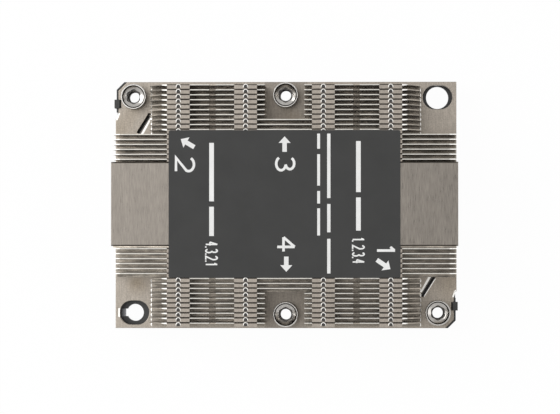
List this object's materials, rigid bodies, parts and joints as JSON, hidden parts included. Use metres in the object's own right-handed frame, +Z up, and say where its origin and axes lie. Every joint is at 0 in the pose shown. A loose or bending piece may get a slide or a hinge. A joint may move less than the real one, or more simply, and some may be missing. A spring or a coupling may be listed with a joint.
{
  "type": "passive server processor heatsink",
  "caption": "Low passive heatsink for a server processor: zipper-fin stack on a nickel-plated plate, flat top bar, captive driver nuts, and a black carrier clip underneath.",
  "frame": {"origin": "middle of the assembly, on the surface that the carrier clip stands on", "axes": "+X along the fins and the air flow, +Y across the fins, +Z up away from the processor"},
  "size_m": [0.1086, 0.078, 0.0306],
  "materials": {
    "plate_metal": "nickel plating, fine brushed lines across the fins",
    "fin_metal": "nickel-plated sheet, semi-bright",
    "nut_steel": "bright plated steel, turned",
    "black_plastic": "moulded, slightly glossy",
    "label_print": "matt dark grey film with white print",
    "compound": "matt grey paste"
  },
  "bodies": {
    "heatsink": {"base_plate": "plate_metal", "thermal_compound": "compound", "fin_01": "fin_metal", "fin_02": "fin_metal", "fin_03": "fin_metal", "fin_04": "fin_metal", "fin_05": "fin_metal", "fin_06": "fin_metal", "fin_07": "fin_metal", "fin_08": "fin_metal", "fin_09": "fin_metal", "fin_10": "fin_metal", "fin_11": "fin_metal", "fin_12": "fin_metal", "fin_13": "fin_metal", "fin_14": "fin_metal", "fin_15": "fin_metal", "fin_16": "fin_metal", "fin_17": "fin_metal", "fin_18": "fin_metal", "fin_19": "fin_metal", "fin_20": "fin_metal", "fin_21": "fin_metal", "fin_22": "fin_metal", "fin_23": "fin_metal", "fin_24": "fin_metal", "fin_25": "fin_metal", "fin_26": "fin_metal", "fin_27": "fin_metal", "fin_28": "fin_metal", "fin_29": "fin_metal", "fin_30": "fin_metal", "fin_31": "fin_metal", "fin_32": "fin_metal", "fin_33": "fin_metal", "fin_34": "fin_metal", "fin_35": "fin_metal", "fin_36": "fin_metal", "fin_37": "fin_metal", "fin_38": "fin_metal", "fin_39": "fin_metal", "fin_40": "fin_metal", "fin_41": "fin_metal", "fin_42": "fin_metal", "fin_43": "fin_metal", "fin_44": "fin_metal", "fin_45": "fin_metal", "fin_46": "fin_metal", "fin_47": "fin_metal", "fin_48": "fin_metal", "fin_49": "fin_metal", "top_plate": "plate_metal", "label": "label_print", "carrier_clip": "black_plastic"},
    "captive_nut_1": {"nut_1": "nut_steel"},
    "captive_nut_2": {"nut_2": "nut_steel"},
    "captive_nut_3": {"nut_3": "nut_steel"},
    "captive_nut_4": {"nut_4": "nut_steel"}
  },
  "joints": [
    {"name": "nut_1_spin", "type": "hinge", "parent": "heatsink", "child": "captive_nut_1", "pos_m": [0.048, -0.0341, 0.01], "axis": [0, 0, 1], "continuous": true},
    {"name": "nut_2_spin", "type": "hinge", "parent": "heatsink", "child": "captive_nut_2", "pos_m": [-0.048, 0.0341, 0.01], "axis": [0, 0, 1], "continuous": true},
    {"name": "nut_3_spin", "type": "hinge", "parent": "heatsink", "child": "captive_nut_3", "pos_m": [0, 0.0346, 0.01], "axis": [0, 0, 1], "continuous": true},
    {"name": "nut_4_spin", "type": "hinge", "parent": "heatsink", "child": "captive_nut_4", "pos_m": [0, -0.0346, 0.01], "axis": [0, 0, 1], "continuous": true}
  ]
}
